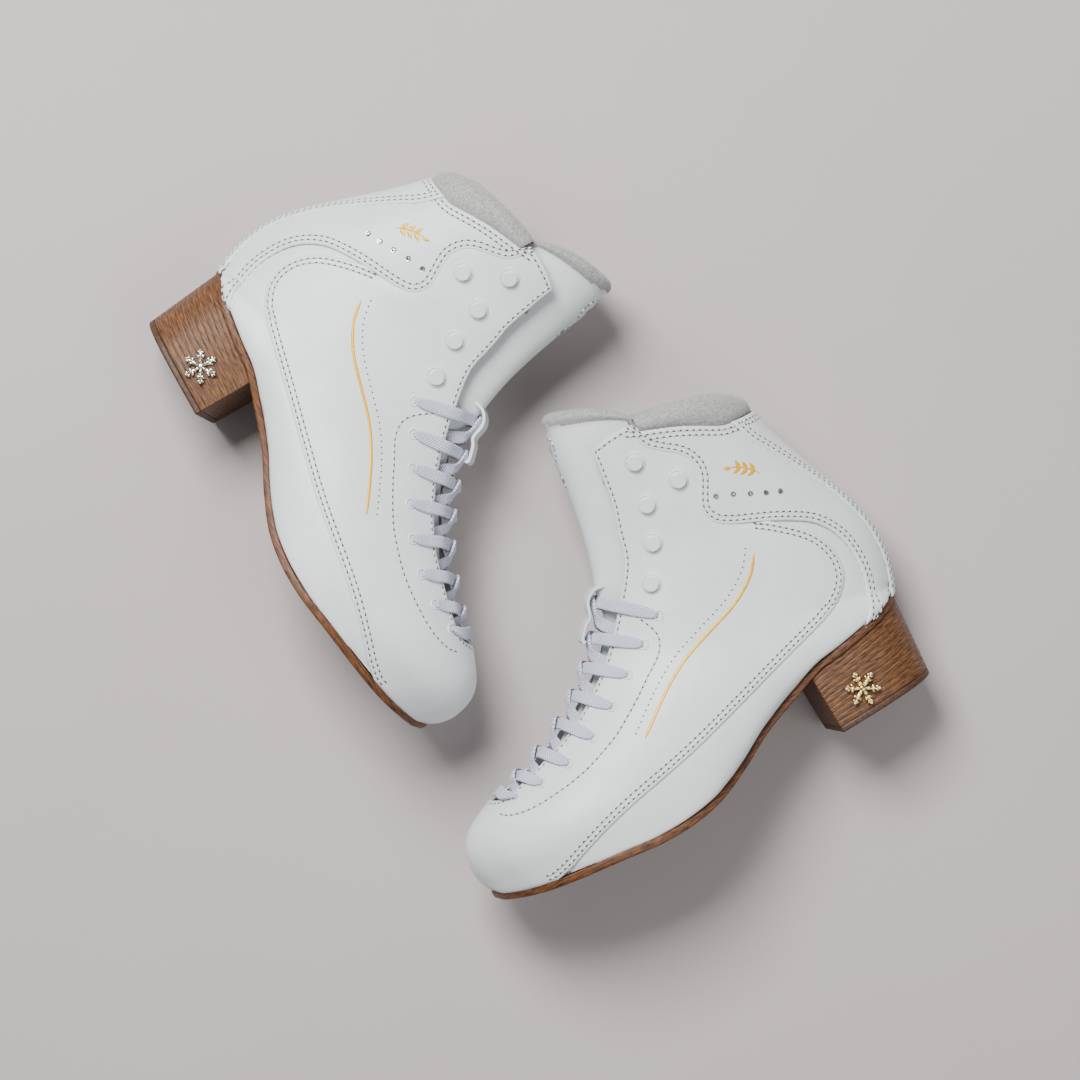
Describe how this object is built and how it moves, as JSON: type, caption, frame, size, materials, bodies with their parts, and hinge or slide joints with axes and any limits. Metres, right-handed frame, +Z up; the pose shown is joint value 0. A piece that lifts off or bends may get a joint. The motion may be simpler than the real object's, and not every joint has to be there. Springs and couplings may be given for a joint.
{
  "type": "figure skating boots",
  "caption": "Pair of white leather figure-skating boots with stacked heels, laced instep and hinged tongues, lying on their inner sides.",
  "frame": {"origin": "middle of the bounding box, on the plane that the boots lie on", "axes": "+Z up out of that plane, from the inner to the outer side of each boot; +X and +Y along the plane, with both shafts towards +Y and both toes towards -Y"},
  "size_m": [0.4166, 0.383, 0.0889],
  "materials": {
    "white_leather": "smooth full-grain, soft sheen",
    "suede": "short napped microsuede",
    "lace_cloth": "flat woven",
    "stud_enamel": "satin white enamel",
    "sole_leather": "burnished edge",
    "stacked_heel": "stacked lifts, waxed",
    "top_lift": "dark waxed lift",
    "fibre_board": "pressed fibre board",
    "shank_steel": "spring steel",
    "left_ornament_metal": "polished gold plate",
    "right_ornament_metal": "polished silver plate"
  },
  "bodies": {
    "root": {"left_ankle_panel_inner": "white_leather", "left_ankle_panel_outer": "white_leather", "left_backstay": "white_leather", "left_collar_pad": "suede", "left_footbed": "suede", "left_foxing_inner": "white_leather", "left_foxing_outer": "white_leather", "left_heel_block": "stacked_heel", "left_heel_counter": "fibre_board", "left_heel_ornament": "left_ornament_metal", "left_heel_top_lift": "top_lift", "left_insole_board": "fibre_board", "left_lace": "lace_cloth", "left_lace_stud_inner_1": "stud_enamel", "left_lace_stud_inner_2": "stud_enamel", "left_lace_stud_inner_3": "stud_enamel", "left_lace_stud_inner_4": "stud_enamel", "left_lace_stud_inner_5": "stud_enamel", "left_lace_stud_outer_1": "stud_enamel", "left_lace_stud_outer_2": "stud_enamel", "left_lace_stud_outer_3": "stud_enamel", "left_lace_stud_outer_4": "stud_enamel", "left_lace_stud_outer_5": "stud_enamel", "left_lining": "suede", "left_outsole": "sole_leather", "left_shank": "shank_steel", "left_toe_box": "fibre_board", "left_tongue_lower": "white_leather", "left_vamp_quarter": "white_leather", "right_ankle_panel_inner": "white_leather", "right_ankle_panel_outer": "white_leather", "right_backstay": "white_leather", "right_collar_pad": "suede", "right_footbed": "suede", "right_foxing_inner": "white_leather", "right_foxing_outer": "white_leather", "right_heel_block": "stacked_heel", "right_heel_counter": "fibre_board", "right_heel_ornament": "right_ornament_metal", "right_heel_top_lift": "top_lift", "right_insole_board": "fibre_board", "right_lace": "lace_cloth", "right_lace_stud_inner_1": "stud_enamel", "right_lace_stud_inner_2": "stud_enamel", "right_lace_stud_inner_3": "stud_enamel", "right_lace_stud_inner_4": "stud_enamel", "right_lace_stud_inner_5": "stud_enamel", "right_lace_stud_outer_1": "stud_enamel", "right_lace_stud_outer_2": "stud_enamel", "right_lace_stud_outer_3": "stud_enamel", "right_lace_stud_outer_4": "stud_enamel", "right_lace_stud_outer_5": "stud_enamel", "right_lining": "suede", "right_outsole": "sole_leather", "right_shank": "shank_steel", "right_toe_box": "fibre_board", "right_tongue_lower": "white_leather", "right_vamp_quarter": "white_leather"},
    "left_tongue": {"left_tongue_upper": "white_leather"},
    "right_tongue": {"right_tongue_upper": "white_leather"}
  },
  "joints": [
    {"name": "left_tongue_hinge", "type": "hinge", "parent": "root", "child": "left_tongue", "pos_m": [0.02904, -0.02515, 0.04623], "axis": [0.116, 0.009, 0.9932], "range_deg": [0, 30]},
    {"name": "right_tongue_hinge", "type": "hinge", "parent": "root", "child": "right_tongue", "pos_m": [-0.0285, 0.06884, 0.04623], "axis": [0.0971, -0.0641, -0.9932], "range_deg": [0, 30]}
  ]
}
